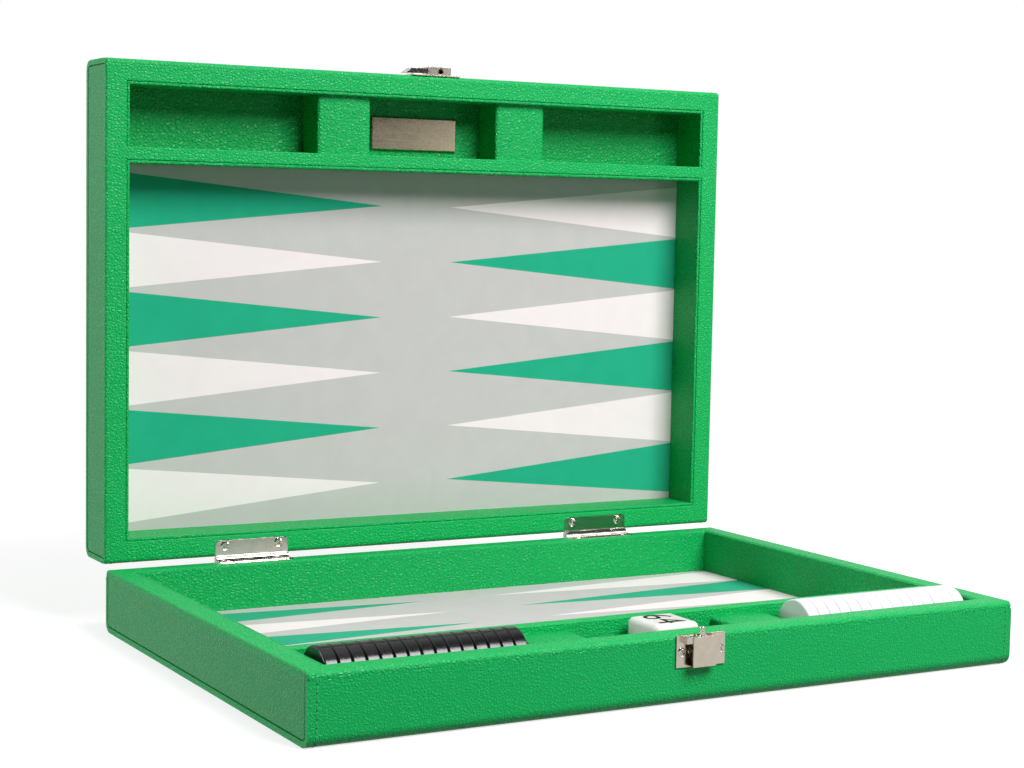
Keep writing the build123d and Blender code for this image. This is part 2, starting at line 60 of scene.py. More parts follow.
CAMERA_PLACE = (-0.54665, -0.92286, 0.23077)
LENS_MM = 70.22
SENSOR_MM = 36
NEAREST_SEEN = 0.01
yaw, pitch, roll = 0.5137, 0.0811, 0.0188
forward = Vector((math.sin(yaw) * math.cos(pitch), math.cos(yaw) * math.cos(pitch), -math.sin(pitch)))
level = forward.cross(Vector((0, 0, 1))).normalized()
upright = level.cross(forward)
across = math.cos(roll) * level + math.sin(roll) * upright
upward = math.cos(roll) * upright - math.sin(roll) * level
camera = bpy.data.objects.new("camera", bpy.data.cameras.new("camera"))
camera.data.lens = LENS_MM
camera.data.sensor_width = SENSOR_MM
camera.data.clip_start = NEAREST_SEEN
turned = Matrix((across, upward, -forward)).transposed().to_4x4()
camera.matrix_world = Matrix.Translation(CAMERA_PLACE) @ turned
bpy.context.scene.collection.objects.link(camera)
bpy.context.scene.camera = camera


def node(tree, kind, inputs=None, **settings):
    """One node of a tree. A value is set on a socket, and a socket is linked to it."""
    made = tree.nodes.new(kind)
    for name, value in settings.items():
        setattr(made, name, value)
    for name, value in (inputs or {}).items():
        if isinstance(value, bpy.types.NodeSocket):
            tree.links.new(value, made.inputs[name])
        else:
            made.inputs[name].default_value = value
    return made


def softbox(name, place, aim, width, depth, watts):
    """A rectangular light that faces a point."""
    light = bpy.data.lights.new(name, "AREA")
    light.shape = "RECTANGLE"
    light.size, light.size_y = width, depth
    light.energy = watts
    lamp = bpy.data.objects.new(name, light)
    lamp.location = place
    lamp.rotation_euler = (Vector(aim) - Vector(place)).to_track_quat("-Z", "Y").to_euler()
    bpy.context.scene.collection.objects.link(lamp)


softbox("key_softbox", (0.45, -1.06, 1.3), aim=(0, 0.04, 0.14), width=0.9, depth=0.8, watts=37)
softbox("overhead_softbox", (0.0, 0.1, 1.9), aim=(0, 0.05, 0.1), width=1.4, depth=1.2, watts=4)
softbox("right_reflector", (1.35, -1.6, 0.3), aim=(0, 0, 0.1), width=0.5, depth=0.6, watts=3)
softbox("left_softbox", (-1.7, 0.75, 0.5), aim=(0, 0, 0.15), width=0.9, depth=0.9, watts=13)

WHITE = (1, 1, 1, 1)
# The camera sees a plain white sky. Everything else is lit by one that is bright behind the case.
SKY_IN_FRONT = 0.03
SKY_BEHIND = 0.8
sky = bpy.data.worlds.new("studio_sky")
bpy.context.scene.world = sky
sky.use_nodes = True
sky.node_tree.nodes.clear()
tree = sky.node_tree
heading = node(tree, "ShaderNodeTexCoord")
parts = node(tree, "ShaderNodeSeparateXYZ", {0: heading.outputs["Generated"]})
rise = {"Value": parts.outputs["Y"], "From Max": 0.6, "To Min": SKY_IN_FRONT, "To Max": SKY_BEHIND}
behind = node(tree, "ShaderNodeMapRange", rise)
seen = node(tree, "ShaderNodeLightPath")
glow = node(tree, "ShaderNodeBackground", {"Color": WHITE, "Strength": behind.outputs[0]})
plain = node(tree, "ShaderNodeBackground", {"Color": WHITE, "Strength": 1.0})
either = node(
    tree,
    "ShaderNodeMixShader",
    {0: seen.outputs["Is Camera Ray"], 1: glow.outputs[0], 2: plain.outputs[0]},
)
node(tree, "ShaderNodeOutputWorld", {"Surface": either.outputs[0]})

# The camera sees pale paper that fades to white. Mirrored in metal it is bright, and the light that
# it throws back on the case is weak.
FLOOR_REACH = 9.0
FLOOR_SIDES = 48
LIT_GREY = 0.42
LIFT_NEAR = 0.72
MIRRORED_LIFT = 0.75
UNSEEN_GREY = 0.09
FADE_FROM, FADE_TO = 0.3, 0.8
floor_mesh = bpy.data.meshes.new("studio_floor")
turns = [2 * math.pi * k / FLOOR_SIDES for k in range(FLOOR_SIDES)]
rim_of_floor = [(FLOOR_REACH * math.cos(turn), FLOOR_REACH * math.sin(turn), 0) for turn in turns]
floor_mesh.from_pydata(rim_of_floor, [], [list(range(FLOOR_SIDES))])
floor = bpy.data.objects.new("studio_floor", floor_mesh)
bpy.context.scene.collection.objects.link(floor)
paper = bpy.data.materials.new("studio_paper")
paper.use_nodes = True
paper.node_tree.nodes.clear()
tree = paper.node_tree
dim = node(tree, "ShaderNodeBsdfDiffuse", {"Color": (*[UNSEEN_GREY] * 3, 1)})
mirrored = node(tree, "ShaderNodeEmission", {"Color": WHITE, "Strength": MIRRORED_LIFT})
shaded = node(tree, "ShaderNodeBsdfDiffuse", {"Color": (*[LIT_GREY] * 3, 1)})
lifted = node(tree, "ShaderNodeEmission", {"Color": WHITE, "Strength": LIFT_NEAR})
near = node(tree, "ShaderNodeAddShader", {0: shaded.outputs[0], 1: lifted.outputs[0]})
far = node(tree, "ShaderNodeEmission", {"Color": WHITE, "Strength": 1.0})
spot = node(tree, "ShaderNodeTexCoord")
measured = node(tree, "ShaderNodeVectorMath", {0: spot.outputs["Object"]}, operation="LENGTH")
away = measured.outputs["Value"]
fade = {"Value": away, "From Min": FADE_FROM, "From Max": FADE_TO}
reach = node(tree, "ShaderNodeMapRange", fade, interpolation_type="SMOOTHSTEP").outputs[0]
pale = node(tree, "ShaderNodeMixShader", {0: reach, 1: near.outputs[0], 2: far.outputs[0]})
seen = node(tree, "ShaderNodeLightPath")
unseen = node(
    tree,
    "ShaderNodeMixShader",
    {0: seen.outputs["Is Glossy Ray"], 1: dim.outputs[0], 2: mirrored.outputs[0]},
)
either = node(
    tree,
    "ShaderNodeMixShader",
    {0: seen.outputs["Is Camera Ray"], 1: unseen.outputs[0], 2: pale.outputs[0]},
)
node(tree, "ShaderNodeOutputMaterial", {"Surface": either.outputs[0]})
floor_mesh.materials.append(paper)

# ---------------------------------------------------------------------------------------------
# Outer hides. One piece of pebble-grained hide on each half runs down the front, under the floor
# and up the back, and is turned over both ends. It is glued to the boards and sewn down close to
# each end.
# ---------------------------------------------------------------------------------------------
HALF_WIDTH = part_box("base_outer_hide")[1][0]
HALF_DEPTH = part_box("base_outer_hide")[1][1]
HALF_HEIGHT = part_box("base_rim_hide")[1][2]
LONG_EDGE_ROUND = 0.006
CORNER_STEPS = 12
SEWN_FROM_END = 0.0042
SEWN_FROM_TOP = 0.0035
STITCH_PITCH = 0.0039
STITCH_LENGTH = 0.0024
THREAD_RADIUS = 0.0003
NEEDLE_HOLE = 0.00055
HOLE_STRETCH = (1.15, 0.7, 1.0)
HOLE_PROUD = 0.00002

pin_low, pin_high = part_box("hinge_pins")
hinge_reach = (pin_low[1] + pin_high[1]) / 2 + (pin_low[2] + pin_high[2]) / 2
# A half lying rim up is turned into the open lid by this.
LID_PLACE = Matrix(((-1, 0, 0, 0), (0, 0, -1, hinge_reach), (0, -1, 0, hinge_reach), (0, 0, 0, 1)))
HALF_PLACES = {"base": Matrix.Identity(4), "lid": LID_PLACE}


def shader_group(name, inputs, outputs):
    """An empty shader node group with named sockets, and its two end nodes."""
    tree = bpy.data.node_groups.new(name, "ShaderNodeTree")
    for label, value in inputs.items():
        kind = "NodeSocketVector" if isinstance(value, tuple) else "NodeSocketFloat"
        tree.interface.new_socket(label, in_out="INPUT", socket_type=kind).default_value = value
    for label in outputs:
        tree.interface.new_socket(label, in_out="OUTPUT", socket_type="NodeSocketFloat")
    return tree, tree.nodes.new("NodeGroupInput"), tree.nodes.new("NodeGroupOutput")


def maths(tree, operation, first, second):
    """The result of a sum on two values or sockets."""
    return node(tree, "ShaderNodeMath", {0: first, 1: second}, operation=operation).outputs[0]


def ranged(tree, value, low, high, start, end, smooth=False):
    """A value moved from one range to another."""
    inputs = {"Value": value, "From Min": low, "From Max": high, "To Min": start, "To Max": end}
    kind = "SMOOTHSTEP" if smooth else "LINEAR"
    return node(tree, "ShaderNodeMapRange", inputs, interpolation_type=kind).outputs[0]


def blended(tree, share, first, second):
    """One colour passing into another."""
    mix = node(tree, "ShaderNodeMix", {"Factor": share}, data_type="RGBA")
    for socket, colour in ((mix.inputs[6], first), (mix.inputs[7], second)):
        if isinstance(colour, bpy.types.NodeSocket):
            tree.links.new(colour, socket)
        else:
            socket.default_value = (*colour, 1)
    return mix.outputs[2]


def object_place(tree):
    """Where a point lies on its piece."""
    return node(tree, "ShaderNodeTexCoord").outputs["Object"]


def noise(tree, place, scale, **settings):
    """Cloudy noise, as its node."""
    return node(tree, "ShaderNodeTexNoise", {"Vector": place, "Scale": scale, **settings})


def vector_maths(tree, operation, first, second):
    """The result of a sum on two vectors."""
    return node(tree, "ShaderNodeVectorMath", {0: first, 1: second}, operation=operation).outputs[0]


def pebble_grain():
    """Raised pebbles parted by creases, with a finer grain on them and a slow drift of tone."""
    sizes = {"Pebbles per metre": 560.0, "Wander": 0.0011}
    tree, given, result = shader_group("Pebble grain", sizes, ("Height", "Crease", "Tone"))
    place = object_place(tree)
    count = given.outputs["Pebbles per metre"]
    stray = noise(tree, place, maths(tree, "MULTIPLY", count, 0.7), Detail=1.0)
    centred = vector_maths(tree, "SUBTRACT", stray.outputs["Color"], (0.5, 0.5, 0.5))
    wander = {0: centred, "Scale": given.outputs["Wander"]}
    shift = node(tree, "ShaderNodeVectorMath", wander, operation="SCALE").outputs[0]
    bent = vector_maths(tree, "ADD", place, shift)
    spread = {"Vector": bent, "Scale": count}
    cells = node(tree, "ShaderNodeTexVoronoi", spread, feature="DISTANCE_TO_EDGE")
    raised = ranged(tree, cells.outputs["Distance"], 0.0, 0.34, 0.0, 1.0, smooth=True)
    each = node(tree, "ShaderNodeTexVoronoi", spread, feature="F1")
    uneven = node(tree, "ShaderNodeSeparateColor", {0: each.outputs["Color"]}).outputs[0]
    fine = noise(tree, place, maths(tree, "MULTIPLY", count, 3.0), Detail=2.0)
    body = maths(tree, "MULTIPLY", raised, ranged(tree, uneven, 0.0, 1.0, 0.62, 0.92))
    grain = maths(tree, "MULTIPLY", fine.outputs["Fac"], 0.07)
    tree.links.new(maths(tree, "ADD", body, grain), result.inputs["Height"])
    tree.links.new(ranged(tree, body, 0.0, 0.6, 1.0, 0.0), result.inputs["Crease"])
    drift = noise(tree, place, 28.0, Detail=4.0)
    tree.links.new(ranged(tree, drift.outputs["Fac"], 0.3, 0.7, 0.0, 1.0), result.inputs["Tone"])
    return tree


PEBBLES = pebble_grain()


def blank_material(name):
    """A material with a Principled shader alone, and its tree."""
    material = bpy.data.materials.new(name)
    material.use_nodes = True
    material.node_tree.nodes.clear()
    shader = material.node_tree.nodes.new("ShaderNodeBsdfPrincipled")
    node(material.node_tree, "ShaderNodeOutputMaterial", {"Surface": shader.outputs[0]})
    return material, material.node_tree, shader


def bumped(tree, shader, strength, depth, height):
    """Relief on a shader, as deep as asked."""
    bump = node(tree, "ShaderNodeBump", {"Strength": strength, "Distance": depth, "Height": height})
    tree.links.new(bump.outputs[0], shader.inputs["Normal"])


def hide_finish(name, ridge, crease, count, relief, gloss):
    """Satin hide whose creases are duller than its ridges and darkened with painted shade."""
    material, tree, shader = blank_material(name)
    grain = node(tree, "ShaderNodeGroup", node_tree=PEBBLES)
    grain.inputs["Pebbles per metre"].default_value = count
    # Painted shade: the darker crease colour is blended into the creases of the grain.
    crease_shaded = blended(tree, maths(tree, "MULTIPLY", grain.outputs["Crease"], 0.5), ridge, crease)
    deeper = tuple(0.86 * part for part in ridge)
    drifting = maths(tree, "MULTIPLY", grain.outputs["Tone"], 0.35)
    tree.links.new(blended(tree, drifting, crease_shaded, deeper), shader.inputs["Base Color"])
    dull = ranged(tree, grain.outputs["Crease"], 0.0, 1.0, gloss, gloss + 0.2)
    tree.links.new(dull, shader.inputs["Roughness"])
    shader.inputs["Specular IOR Level"].default_value = 0.3
    bumped(tree, shader, 0.8, relief, grain.outputs["Height"])
    return material


def dress(finish, *names):
    """Gives CAD pieces their finish."""
    for name in names:
        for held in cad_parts[name].material_slots:
            held.material = finish


GREEN_HIDE = hide_finish(
    "green_pebbled_hide",
    ridge=(0.0, 0.49, 0.115),
    crease=(0.0, 0.33, 0.07),
    count=640.0,
    relief=0.00024,
    gloss=0.35,
)
dress(GREEN_HIDE, "base_outer_hide", "lid_outer_hide")


def thread_finish():
    """Twisted polyester thread, a shade lighter than the hide."""
    material, tree, shader = blank_material("green_thread")
    twined = {"Vector": object_place(tree), "Scale": 900.0, "Distortion": 1.0}
    twist = node(tree, "ShaderNodeTexWave", twined, bands_direction="DIAGONAL").outputs["Fac"]
    green = blended(tree, twist, (0.03, 0.42, 0.13), (0.07, 0.56, 0.2))
    tree.links.new(green, shader.inputs["Base Color"])
    shader.inputs["Roughness"].default_value = 0.55
    bumped(tree, shader, 0.5, 0.00006, twist)
    return material


def hole_finish():
    """Painted shade for a needle hole: flecked dark green for a disc laid on the hide."""
    material, tree, shader = blank_material("needle_hole_shade")
    fleck = noise(tree, object_place(tree), 3000.0).outputs["Fac"]
    shade = blended(tree, fleck, (0.0, 0.07, 0.016), (0.002, 0.13, 0.03))
    tree.links.new(shade, shader.inputs["Base Color"])
    shader.inputs["Roughness"].default_value = 0.8
    return material


def stitch_tree():
    """Geometry nodes that sew along a line: a bowed thread at each step, and between steps a flat dark
    disc of painted shade that stands for a needle hole.
    """
    tree = bpy.data.node_groups.new("Stitch run", "GeometryNodeTree")
    tree.interface.new_socket("Geometry", in_out="INPUT", socket_type="NodeSocketGeometry")
    for label in ("Pitch", "Stitch length", "Thread radius", "Hole radius"):
        tree.interface.new_socket(label, in_out="INPUT", socket_type="NodeSocketFloat")
    for label in ("Thread", "Hole shade"):
        tree.interface.new_socket(label, in_out="INPUT", socket_type="NodeSocketMaterial")
    tree.interface.new_socket("Geometry", in_out="OUTPUT", socket_type="NodeSocketGeometry")
    given = tree.nodes.new("NodeGroupInput").outputs
    line = node(tree, "GeometryNodeMeshToCurve", {0: given["Geometry"]}).outputs[0]
    paced = {"Curve": line, "Length": given["Pitch"]}
    steps = node(tree, "GeometryNodeResampleCurve", paced, mode="LENGTH").outputs[0]
    tangent = node(tree, "GeometryNodeInputTangent").outputs[0]
    out = vector_maths(tree, "CROSS_PRODUCT", tangent, (1, 0, 0))
    along = node(tree, "FunctionNodeAlignRotationToVector", {"Vector": tangent}, axis="X").outputs[0]
    outward = {"Rotation": along, "Vector": out}
    facing = node(
        tree, "FunctionNodeAlignRotationToVector", outward, axis="Z", pivot_axis="X"
    ).outputs[0]
    half = maths(tree, "MULTIPLY", given["Stitch length"], 0.5)
    back = maths(tree, "MULTIPLY", half, -1.0)
    sunk = maths(tree, "MULTIPLY", given["Thread radius"], -1.1)
    start = node(tree, "ShaderNodeCombineXYZ", {0: back, 2: sunk}).outputs[0]
    middle = node(tree, "ShaderNodeCombineXYZ", {2: given["Thread radius"]}).outputs[0]
    end = node(tree, "ShaderNodeCombineXYZ", {0: half, 2: sunk}).outputs[0]
    curved = {"Resolution": 5, "Start": start, "Middle": middle, "End": end}
    bow = node(tree, "GeometryNodeCurveQuadraticBezier", curved).outputs[0]
    ring = {"Resolution": 6, "Radius": given["Thread radius"]}
    section = node(tree, "GeometryNodeCurvePrimitiveCircle", ring).outputs[0]
    swept = {"Curve": bow, "Profile Curve": section, "Fill Caps": True}
    thread = node(tree, "GeometryNodeCurveToMesh", swept).outputs[0]
    # A needle hole is drawn as a flat disc just proud of the hide, given the painted shade finish.
    punched = {"Vertices": 8, "Radius": given["Hole radius"]}
    disc = node(tree, "GeometryNodeMeshCircle", punched, fill_type="NGON").outputs[0]
    between = maths(tree, "MULTIPLY", given["Pitch"], 0.5)
    shift = node(tree, "ShaderNodeCombineXYZ", {0: between, 2: HOLE_PROUD}).outputs[0]
    stretched = {"Geometry": disc, "Translation": shift, "Scale": HOLE_STRETCH}
    moved = node(tree, "GeometryNodeTransform", stretched).outputs[0]
    marked = node(
        tree,
        "GeometryNodeStoreNamedAttribute",
        {"Geometry": moved, "Name": "needle_hole", "Value": True},
        data_type="BOOLEAN",
        domain="FACE",
    ).outputs[0]
    both = tree.nodes.new("GeometryNodeJoinGeometry")
    for repeated in (thread, marked):
        laid = {"Points": steps, "Instance": repeated, "Rotation": facing}
        spread = node(tree, "GeometryNodeInstanceOnPoints", laid).outputs[0]
        tree.links.new(spread, both.inputs[0])
    real = node(tree, "GeometryNodeRealizeInstances", {0: both.outputs[0]}).outputs[0]
    green = {"Geometry": real, "Material": given["Thread"]}
    threaded = node(tree, "GeometryNodeSetMaterial", green).outputs[0]
    mark = {"Name": "needle_hole"}
    hole = node(tree, "GeometryNodeInputNamedAttribute", mark, data_type="BOOLEAN").outputs[0]
    shaded = node(
        tree,
        "GeometryNodeSetMaterial",
        {"Geometry": threaded, "Selection": hole, "Material": given["Hole shade"]},
    ).outputs[0]
    node(tree, "NodeGroupOutput", {0: shaded})
    return tree


def sewn_line(x):
    """The line of a seam on a half lying rim up: down the front, under the floor and up the back."""
    top = HALF_HEIGHT - SEWN_FROM_TOP
    r = LONG_EDGE_ROUND
    line = [(x, -HALF_DEPTH, top)]
    for k in range(CORNER_STEPS + 1):
        turn = math.pi / 2 * k / CORNER_STEPS
        line.append((x, r - HALF_DEPTH - r * math.cos(turn), r - r * math.sin(turn)))
    return line + [(x, -y, z) for x, y, z in reversed(line)]


def with_nodes_applied(name, mesh, tree, inputs):
    """The plain mesh that a geometry node tree makes of a mesh."""
    carrier = bpy.data.objects.new(name, mesh)
    bpy.context.scene.collection.objects.link(carrier)
    made = carrier.modifiers.new(name, "NODES")
    made.node_group = tree
    for item in tree.interface.items_tree:
        if item.in_out == "INPUT" and item.name in inputs:
            made[item.identifier] = inputs[item.name]
    depsgraph = bpy.context.evaluated_depsgraph_get()
    result = bpy.data.meshes.new_from_object(carrier.evaluated_get(depsgraph))
    carrier.modifiers.remove(made)
    bpy.data.objects.remove(carrier)
    return result


def place_piece(name, mesh, body, smooth_below=40, flats=False):
    """A finished mesh becomes a piece on a body. flats keeps its large faces flat to the eye."""
    mesh.name = name
    mesh.shade_smooth()
    mesh.set_sharp_from_angle(angle=math.radians(smooth_below))
    piece = bpy.data.objects.new(name, mesh)
    bpy.context.scene.collection.objects.link(piece)
    if flats:
        weighting = piece.modifiers.new("flats", "WEIGHTED_NORMAL")
        weighting.weight = 100
        weighting.keep_sharp = True
        depsgraph = bpy.context.evaluated_depsgraph_get()
        settled = bpy.data.meshes.new_from_object(piece.evaluated_get(depsgraph))
        piece.modifiers.remove(weighting)
        piece.data = settled
        settled.name = name
    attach(piece, body)
    return piece


STITCHES = stitch_tree()
sewing = {
    "Pitch": STITCH_PITCH,
    "Stitch length": STITCH_LENGTH,
    "Thread radius": THREAD_RADIUS,
    "Hole radius": NEEDLE_HOLE,
    "Thread": thread_finish(),
    "Hole shade": hole_finish(),
}
for half, place in HALF_PLACES.items():
    seams = bpy.data.meshes.new(half + "_seams")
    points, edges = [], []
    for x in (SEWN_FROM_END - HALF_WIDTH, HALF_WIDTH - SEWN_FROM_END):
        line = sewn_line(x)
        edges += [(len(points) + k, len(points) + k + 1) for k in range(len(line) - 1)]
        points += line
    seams.from_pydata(points, edges, [])
    stitches = with_nodes_applied(half + "_stitching", seams, STITCHES, sewing)
    stitches.transform(place)
    place_piece(half + "_stitching", stitches, half)

# ---------------------------------------------------------------------------------------------
# End panels. A flat panel of the same hide closes each end, inside the turned edge of the outer
# hide. Its own edge is drawn over a thin board, so it rolls into a narrow groove at both sides and
# below.
# ---------------------------------------------------------------------------------------------
PANEL_ROLL = 0.0006
PANEL_CORNER_STEPS = 8
ROLL_STEPS = 5
panel_low, panel_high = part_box("base_left_end_panel")
# The end panels are the same hide as the outer hide. Their darker ridge and crease colours are painted
# shade.
END_HIDE = hide_finish(
    "green_end_hide_painted_darker",
    ridge=(0.0, 0.42, 0.1),
    crease=(0.0, 0.3, 0.07),
    count=600.0,
    relief=0.00042,
    gloss=0.28,
)


def panel_outline(inset):
    """The outline of an end panel, front to back, drawn in at its sides and below but not on top."""
    y0, y1 = panel_low[1] + inset, panel_high[1] - inset
    z0, z1 = panel_low[2] + inset, panel_high[2]
    r = LONG_EDGE_ROUND - panel_low[2] - inset
    turns = [math.pi / 2 * k / PANEL_CORNER_STEPS for k in range(PANEL_CORNER_STEPS + 1)]
    front = [(y0 + r - r * math.cos(turn), z0 + r - r * math.sin(turn)) for turn in turns]
    back = [(y1 - r + r * math.sin(turn), z0 + r - r * math.cos(turn)) for turn in turns]
    return [(y0, z1), *front, *back, (y1, z1)]


def finished_mesh(name, shape):
    """The mesh of a shape that is done."""
    mesh = bpy.data.meshes.new(name)
    shape.to_mesh(mesh)
    shape.free()
    return mesh


def skinned(name, shape, rings):
    """A closed mesh through rings of equal count, capped at both ends, faces outwards."""
    count = len(rings[0])
    for one, two in zip(rings, rings[1:]):
        for k in range(count):
            n = (k + 1) % count
            shape.faces.new((one[k], one[n], two[n], two[k]))
    shape.faces.new(list(reversed(rings[0])))
    shape.faces.new(rings[-1])
    bmesh.ops.recalc_face_normals(shape, faces=shape.faces)
    return finished_mesh(name, shape)


def end_panel():
    """The left panel of a half lying rim up, outer face to -X."""
    shape = bmesh.new()
    rings = []
    sections = [(panel_high[0], 0.0)]
    for k in range(ROLL_STEPS + 1):
        turn = math.pi / 2 * k / ROLL_STEPS
        x = panel_low[0] + PANEL_ROLL * (1 - math.sin(turn))
        sections.append((x, PANEL_ROLL * (1 - math.cos(turn))))
    for x, inset in sections:
        rings.append([shape.verts.new((x, y, z)) for y, z in panel_outline(inset)])
    return skinned("end_panel", shape, rings)


for half, place in HALF_PLACES.items():
    for side, turn in (("left", Matrix.Identity(4)), ("right", Matrix.Rotation(math.pi, 4, "Z"))):
        panel = end_panel()
        panel.transform(place @ turn)
        panel.materials.append(END_HIDE)
        piece = place_piece(f"{half}_{side}_end_hide", panel, half, flats=True)
        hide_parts(f"{half}_{side}_end_panel")

# ---------------------------------------------------------------------------------------------
# Rim hides and liners. One hide covers the rim and the rail and turns down over all four edges.
# Thin boards wrapped in the same hide line the walls of the field and the storage strip.
# ---------------------------------------------------------------------------------------------
# The liners and wrapped blocks are the same hide as the rim. Their darker ridge and crease colours are
# painted shade for the recess walls.
LINER_HIDE = hide_finish(
    "green_liner_hide",
    ridge=(0.0, 0.46, 0.105),
    crease=(0.0, 0.3, 0.064),
    count=480.0,
    relief=0.0005,
    gloss=0.35,
)
RIM_HIDE = hide_finish(
    "green_rim_hide",
    ridge=(0.0, 0.5, 0.115),
    crease=(0.0, 0.31, 0.064),
    count=540.0,
    relief=0.00038,
    gloss=0.35,
)
# The storage strip's lining is the same hide again. Its much darker ridge and crease colours are painted
# shade for the deep recess.
LINING_HIDE = hide_finish(
    "green_lining_hide_painted_darker",
    ridge=(0.0, 0.38, 0.086),
    crease=(0.0, 0.24, 0.048),
    count=440.0,
    relief=0.0006,
    gloss=0.33,
)
for half in HALF_PLACES:
    dress(RIM_HIDE, half + "_rim_hide")
    dress(LINER_HIDE, half + "_field_liner", half + "_storage_liner")
    dress(LINING_HIDE, half + "_storage_lining")

# ---------------------------------------------------------------------------------------------
# Dividers. Two blocks in each storage strip are wrapped in hide, with soft top corners. The wrap
# is drawn tight over the middle and drops a little towards each corner.
# ---------------------------------------------------------------------------------------------
DIVIDER_ROUND = 0.0021
DIVIDER_CROWN = 0.0006
DIVIDER_RIPPLE = 0.00006
DIVIDER_STEPS = 24
DIVIDER_CORNER_STEPS = 6


def wrapped_block(low, high):
    """A block along Y between two corners, with a rounded, slightly crowned top."""
    middle = (low[0] + high[0]) / 2
    half = (high[0] - low[0]) / 2
    corner = []
    for k in range(DIVIDER_CORNER_STEPS + 1):
        turn = math.pi / 2 * k / DIVIDER_CORNER_STEPS
        in_by, drop = DIVIDER_ROUND * (1 - math.cos(turn)), DIVIDER_ROUND * (1 - math.sin(turn))
        corner.append((half - in_by, drop))
    shares = [k / DIVIDER_CORNER_STEPS for k in range(1, DIVIDER_CORNER_STEPS + 1)]
    across_top = [(half - DIVIDER_ROUND) * (1 - share) for share in shares]
    right = [(half, high[2] - low[2])] + corner + [(x, 0.0) for x in across_top]
    outline = right + [(-x, drop) for x, drop in reversed(right[:-1])]
    shape = bmesh.new()
    rings = []
    for n in range(DIVIDER_STEPS + 1):
        y = low[1] + (high[1] - low[1]) * n / DIVIDER_STEPS
        ring = []
        for x, drop in outline:
            sag = DIVIDER_CROWN * (x / half) ** 2
            ripple = DIVIDER_RIPPLE * (1 + math.sin(7 * n / DIVIDER_STEPS + 260 * x))
            lower = (sag + ripple) * (1 - drop / DIVIDER_ROUND) if drop < DIVIDER_ROUND else 0.0
            ring.append(shape.verts.new((middle + x, y, high[2] - drop - lower)))
        rings.append(ring)
    return skinned("divider", shape, rings)


for half, place in HALF_PLACES.items():
    for side in ("left", "right"):
        low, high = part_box(f"base_{side}_divider")
        block = wrapped_block(low, high)
        block.transform(place)
        block.materials.append(LINER_HIDE)
        piece = place_piece(f"{half}_{side}_wrapped_block", block, half, flats=True)
        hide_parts(f"{half}_{side}_divider")

# ---------------------------------------------------------------------------------------------
# Playing field. Grey brushed microfibre is glued to the floor board, and the twelve points are
# cut from teal and off-white cloth of the same thickness and let into it edge to edge.
# ---------------------------------------------------------------------------------------------


def brushed_nap():
    """Short brushed fibres that lie along one direction, with patches where they lie another way."""
    fibres = {"Fibres": (5200.0, 1500.0, 3000.0)}
    tree, given, result = shader_group("Brushed nap", fibres, ("Height", "Patch"))
    place = object_place(tree)
    drawn = vector_maths(tree, "MULTIPLY", place, given.outputs["Fibres"])
    fibre = noise(tree, drawn, 1.0, Detail=3.0, Roughness=0.6)
    tree.links.new(fibre.outputs["Fac"], result.inputs["Height"])
    cloud = noise(tree, place, 60.0, Detail=4.0, Distortion=0.6)
    tree.links.new(ranged(tree, cloud.outputs["Fac"], 0.32, 0.68, 0.0, 1.0), result.inputs["Patch"])
    return tree


NAP = brushed_nap()


def cloth_finish(name, colour, shade):
    """Matt brushed cloth, mottled where its nap turns."""
    material, tree, shader = blank_material(name)
    nap = node(tree, "ShaderNodeGroup", node_tree=NAP)
    darker = tuple(shade * part for part in colour)
    mottled = blended(tree, maths(tree, "MULTIPLY", nap.outputs["Patch"], 0.5), colour, darker)
    speck = ranged(tree, nap.outputs["Height"], 0.35, 0.65, 0.3, 0.0)
    tree.links.new(blended(tree, speck, mottled, darker), shader.inputs["Base Color"])
    shader.inputs["Roughness"].default_value = 0.92
    shader.inputs["Specular IOR Level"].default_value = 0.2
    shader.inputs["Sheen Weight"].default_value = 0.12
    shader.inputs["Sheen Roughness"].default_value = 0.4
    bumped(tree, shader, 0.5, 0.0001, nap.outputs["Height"])
    return material


GREY_CLOTH = cloth_finish("grey_microfibre", (0.6, 0.585, 0.575), shade=0.9)
TEAL_CLOTH = cloth_finish("teal_microfibre", (0.016, 0.44, 0.25), shade=0.86)
WHITE_CLOTH = cloth_finish("white_microfibre", (0.94, 0.85, 0.86), shade=0.94)
for half in HALF_PLACES:
    dress(GREY_CLOTH, half + "_field_cloth")
    dress(TEAL_CLOTH, half + "_green_points")
    dress(WHITE_CLOTH, half + "_white_points")

# ---------------------------------------------------------------------------------------------
# Boards. The frame under the hides is medium-density fibreboard: four walls, a floor and the core
# of the rail, sawn square and glued. None of it shows when the case is whole.
# ---------------------------------------------------------------------------------------------


def board_finish():
    """Pressed wood fibre, tan with darker specks."""
    material, tree, shader = blank_material("pressed_fibreboard")
    fibre = noise(tree, object_place(tree), 900.0, Detail=5.0, Roughness=0.7).outputs["Fac"]
    tan = blended(tree, fibre, (0.22, 0.13, 0.065), (0.36, 0.24, 0.13))
    tree.links.new(tan, shader.inputs["Base Color"])
    shader.inputs["Roughness"].default_value = 0.85
    bumped(tree, shader, 0.4, 0.0001, fibre)
    return material


BOARD = board_finish()
for half in HALF_PLACES:
    for wall in ("front_wall", "back_wall", "left_wall", "right_wall", "floor_board", "rail_core"):
        dress(BOARD, f"{half}_{wall}")

# ---------------------------------------------------------------------------------------------
# Hinges. Two small butt hinges are let into the back rims: nickel-plated leaves polished bright,
# four knuckles on a steel pin, and two countersunk cross-head screws to each leaf.
# ---------------------------------------------------------------------------------------------


